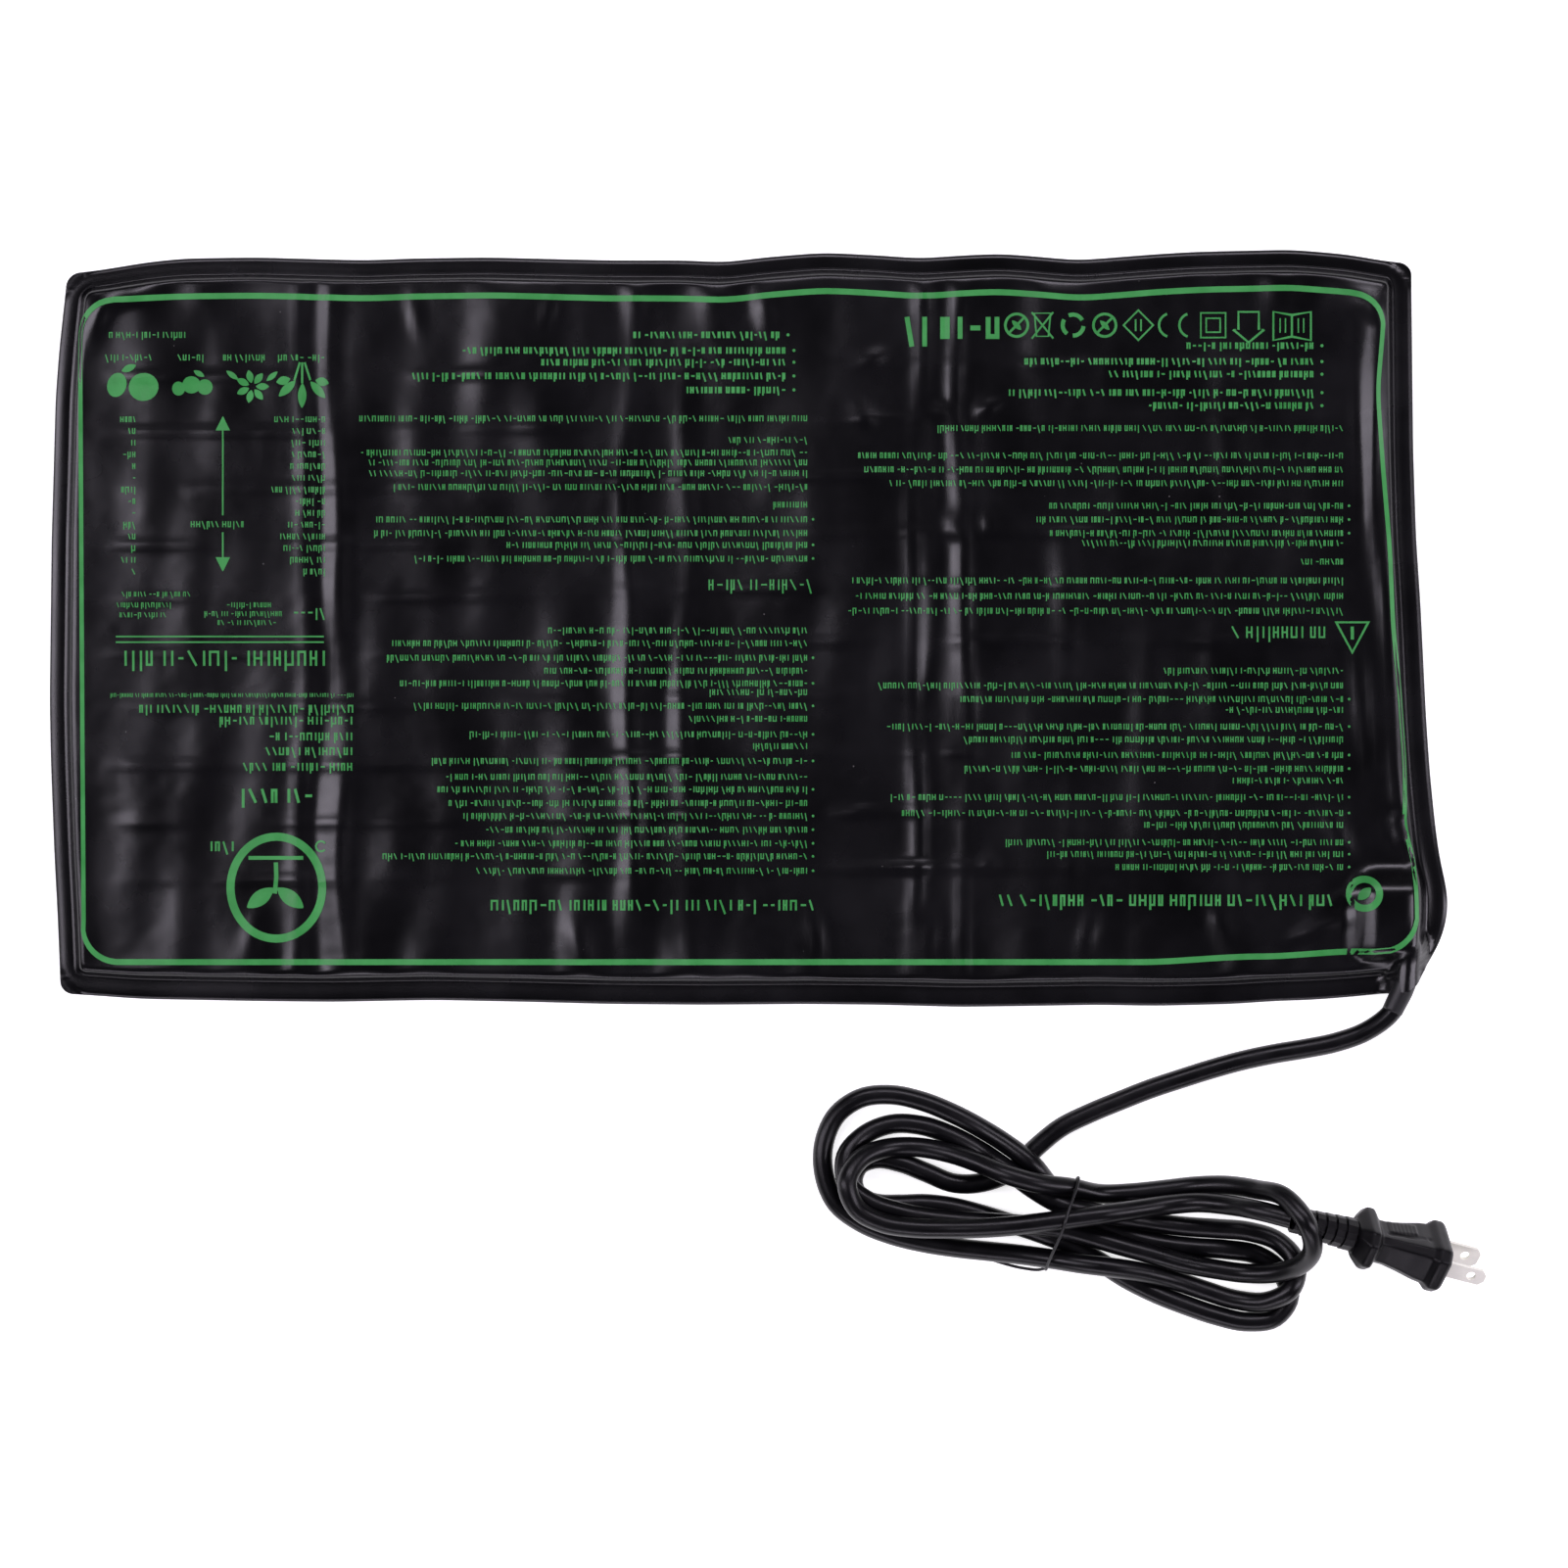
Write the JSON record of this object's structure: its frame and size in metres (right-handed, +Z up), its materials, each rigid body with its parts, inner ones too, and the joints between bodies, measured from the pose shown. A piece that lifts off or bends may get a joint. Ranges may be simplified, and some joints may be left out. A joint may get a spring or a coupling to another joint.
{
  "type": "seedling heat mat",
  "caption": "Thin rectangular heating mat for seed trays, with a welded rim, a splice block in one corner and a mains lead tied in a hank that ends in a two-blade plug.",
  "frame": {"origin": "on the bench under the middle of the mat; the free lead and its plug are left out of that middle", "axes": "+X along the mat's length towards the edge by the splice block, +Y across it away from the lead, +Z up"},
  "size_m": [0.5318, 0.4002, 0.0356],
  "materials": {
    "cover_pvc": "satin PVC sheet with a fine grain",
    "print_ink": "screen-printed green ink",
    "foam": "closed-cell foam",
    "foil": "bright foil",
    "wire_insulation": "satin insulation",
    "splice_plastic": "satin moulding",
    "core_live": "satin insulation",
    "core_neutral": "satin insulation",
    "crimp_metal": "tin-plated copper",
    "shrink_sleeve": "shrunk sleeve",
    "relief_rubber": "satin moulded PVC",
    "lead_jacket": "satin PVC jacket",
    "tie_wire": "plastic-coated wire",
    "plug_moulding": "satin moulded PVC",
    "bridge_plastic": "hard moulding",
    "blade_nickel": "bright nickel plate"
  },
  "bodies": {
    "root": {"top_cover": "cover_pvc", "bottom_cover": "cover_pvc", "foam_pad": "foam", "lower_foil": "foil", "upper_foil": "foil", "heating_wire": "wire_insulation", "splice_base": "splice_plastic", "splice_lid": "splice_plastic", "lead_live": "core_live", "lead_neutral": "core_neutral", "crimp_live": "crimp_metal", "crimp_neutral": "crimp_metal", "sleeve_live": "shrink_sleeve", "sleeve_neutral": "shrink_sleeve", "mat_strain_relief": "relief_rubber", "lead_run": "lead_jacket", "lead_hank": "lead_jacket", "lead_tail": "lead_jacket", "cord_tie": "tie_wire", "plug_strain_relief": "relief_rubber", "plug_body": "plug_moulding", "plug_bridge": "bridge_plastic", "blade_live": "blade_nickel", "blade_neutral": "blade_nickel"}
  },
  "joints": []
}
